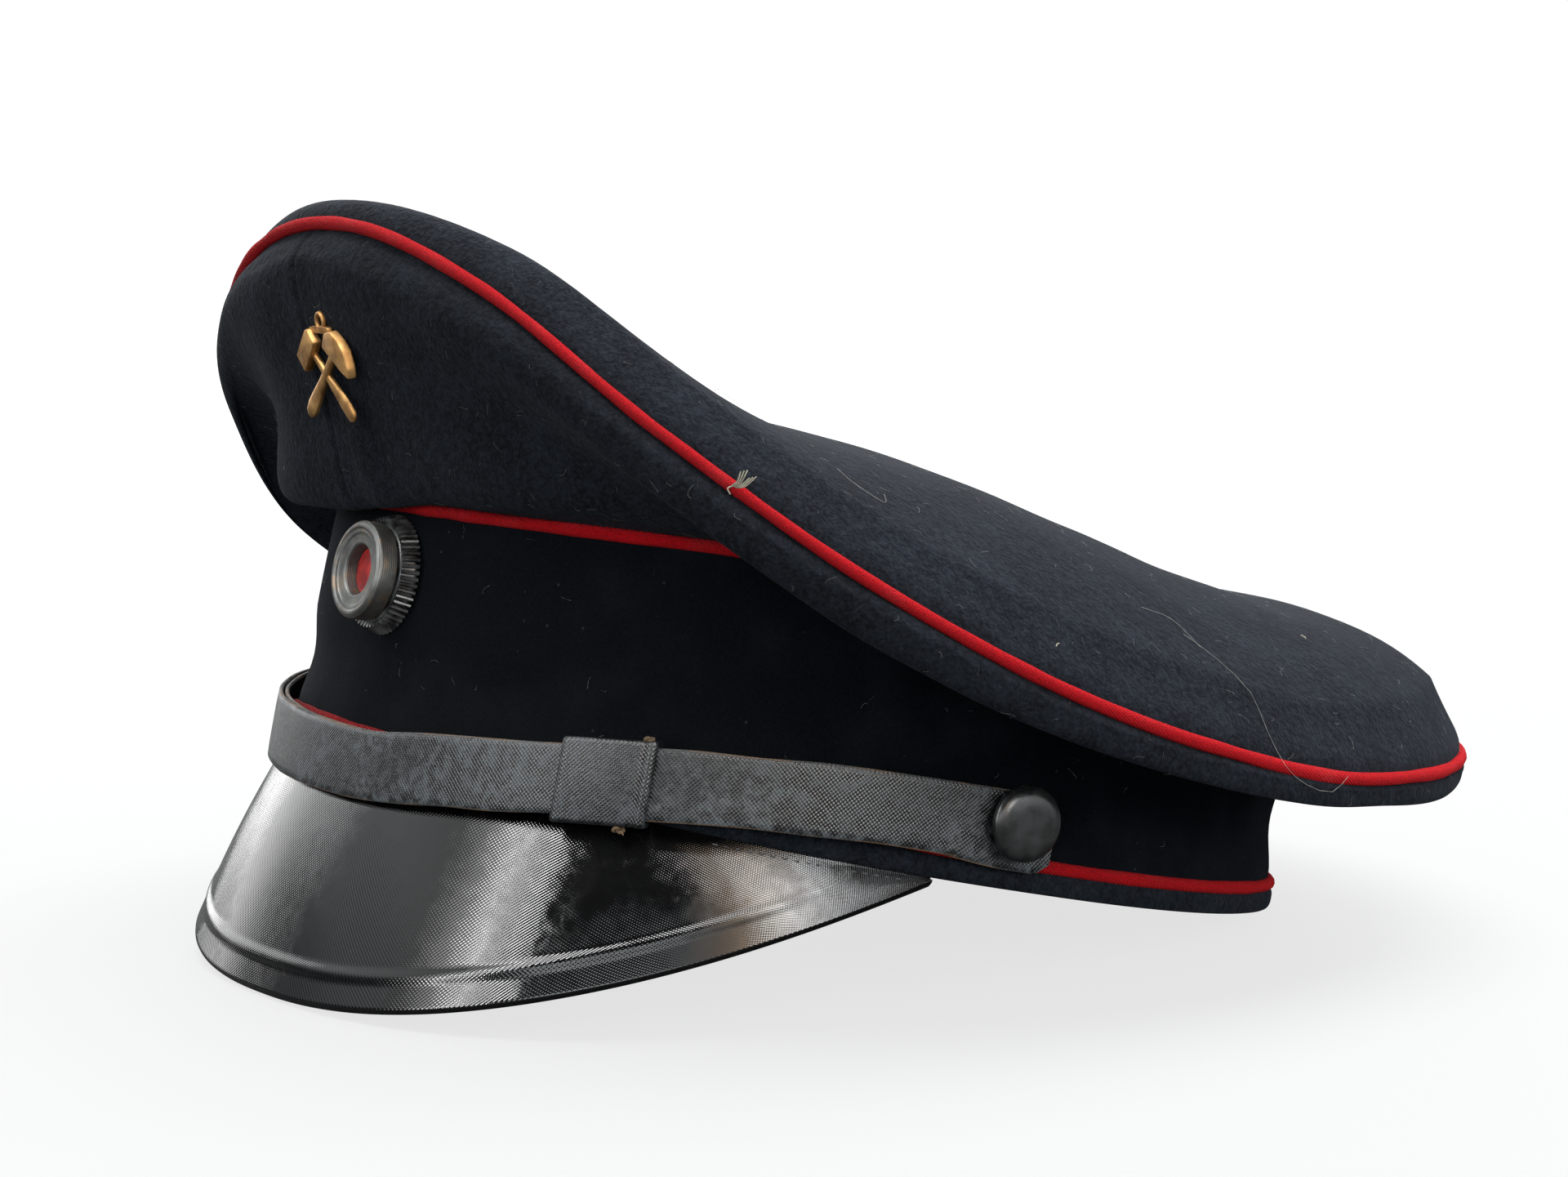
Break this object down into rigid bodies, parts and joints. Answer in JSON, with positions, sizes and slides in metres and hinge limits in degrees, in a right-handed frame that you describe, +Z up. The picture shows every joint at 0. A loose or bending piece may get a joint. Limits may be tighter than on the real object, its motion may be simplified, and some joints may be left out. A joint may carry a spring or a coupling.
{
  "type": "peaked officer's cap",
  "caption": "Peaked uniform cap of dark felt with red piping, velvet band, lacquered peak, chin strap, round cockade and crossed-hammers badge.",
  "frame": {"origin": "on the surface that the cap rests on, under the middle of its bounding box", "axes": "+Z up from the surface; -Y the way the wearer looks; +X the wearer's left. The cap stands on its peak's edge and the rear of its band, so the band's own axis leans 13 degrees forward."},
  "size_m": [0.2478, 0.2478, 0.1456],
  "materials": {
    "crown_felt": "matt dark navy wool felt",
    "band_velvet": "matt near-black navy velvet",
    "red_piping": "red wool piping",
    "peak_lacquer": "high-gloss black lacquer over linen grain",
    "strap_leather": "worn black lacquer with raw brown edges",
    "button_enamel": "black enamel",
    "cockade_steel": "aged grey steel, turned rings",
    "cockade_red": "red enamel",
    "badge_brass": "aged brass"
  },
  "bodies": {
    "root": {"crown_top": "crown_felt", "crown_quarters": "crown_felt", "crown_piping": "red_piping", "upper_piping": "red_piping", "band": "band_velvet", "lower_piping": "red_piping", "base_welt": "crown_felt", "peak": "peak_lacquer", "strap_left": "strap_leather", "strap_right": "strap_leather", "keeper_left": "strap_leather", "keeper_right": "strap_leather", "button_left": "button_enamel", "button_right": "button_enamel", "cockade_skirt": "button_enamel", "cockade_ring": "cockade_steel", "cockade_centre": "cockade_red", "hammers_badge": "badge_brass"}
  },
  "joints": []
}
